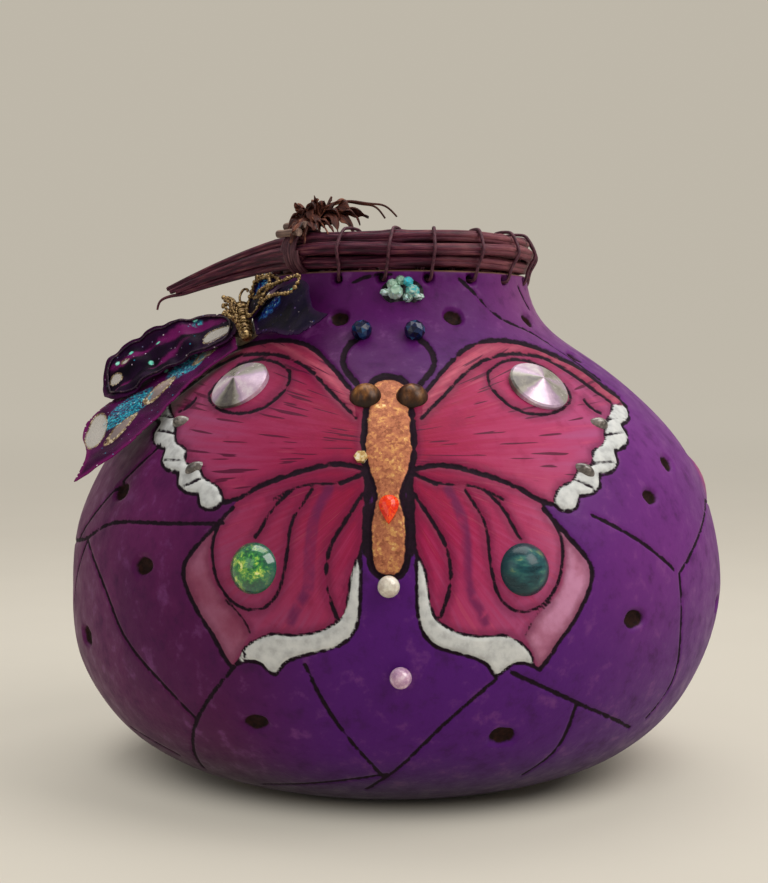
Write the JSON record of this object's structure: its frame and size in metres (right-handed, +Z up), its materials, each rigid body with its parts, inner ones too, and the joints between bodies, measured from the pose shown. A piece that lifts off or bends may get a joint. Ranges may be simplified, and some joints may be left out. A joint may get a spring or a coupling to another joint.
{
  "type": "carved gourd bowl",
  "caption": "Squat hollow gourd bowl with a carved and painted butterfly, glued stones, a lashed rim of plant stems and a wired cloth butterfly with bendable wings.",
  "frame": {"origin": "centre of the flat foot on the table, on the axis of the gourd", "axes": "+Z up along the gourd's axis, -Y towards the viewer and the painted butterfly, +X to the viewer's right"},
  "size_m": [0.1998, 0.2037, 0.1823],
  "materials": {
    "dyed_gourd": "dyed purple gourd skin, satin varnish",
    "plum_stem": "dyed plum plant stem",
    "bare_stem": "undyed dry stem",
    "binding_strip": "thin plum strip",
    "lashing_thread": "waxed thread",
    "dried_bract": "dry reddish brown bract",
    "clear_crystal": "foil-backed faceted crystal",
    "green_glass": "green iridescent cabochon",
    "teal_glass": "dark teal cabochon",
    "brown_stone": "polished banded brown stone",
    "red_glass": "red-orange faceted drop",
    "pearl": "pearl coat",
    "blue_glass": "dark blue bead",
    "dark_setting": "darkened metal",
    "aqua_crystal": "pale aqua crystal",
    "gold_crystal": "gold crystal chip",
    "grey_stone": "grey translucent stone",
    "glue": "set glue",
    "gold_wire": "gilt wire and beads",
    "dark_cloth": "navy black cloth with glitter",
    "plum_cloth": "plum organza with glitter"
  },
  "bodies": {
    "root": {"gourd_shell": "dyed_gourd", "rim_stems": "plum_stem", "rim_tail_stems": "plum_stem", "rim_stub_stems": "bare_stem", "rim_binding": "binding_strip", "rim_lashing": "lashing_thread", "tuft": "dried_bract", "rivoli_left": "clear_crystal", "rivoli_right": "clear_crystal", "dome_left": "green_glass", "dome_right": "teal_glass", "eye_left": "brown_stone", "eye_right": "brown_stone", "drop_stone": "red_glass", "pearl_upper": "pearl", "pearl_lower": "pearl", "antenna_bead_left": "blue_glass", "antenna_bead_right": "blue_glass", "cluster_setting": "dark_setting", "cluster_stones": "aqua_crystal", "accent_crystal": "gold_crystal", "margin_stones": "grey_stone", "ornament_pad": "glue", "ornament_body": "gold_wire", "ornament_antennae": "gold_wire"},
    "left_wings": {"left_forewing": "dark_cloth", "left_hindwing": "plum_cloth", "left_wing_wire": "gold_wire"},
    "right_wings": {"right_forewing": "dark_cloth", "right_hindwing": "plum_cloth", "right_wing_wire": "gold_wire"}
  },
  "joints": [
    {"name": "left_wing_bend", "type": "hinge", "parent": "root", "child": "left_wings", "pos_m": [-0.04704, -0.0221, 0.14028], "axis": [-0.1525, 0.8987, 0.4111], "range_deg": [0, 40]},
    {"name": "right_wing_bend", "type": "hinge", "parent": "root", "child": "right_wings", "pos_m": [-0.04704, -0.0221, 0.14028], "axis": [0.1525, -0.8987, -0.4111], "range_deg": [-3, 35]}
  ]
}
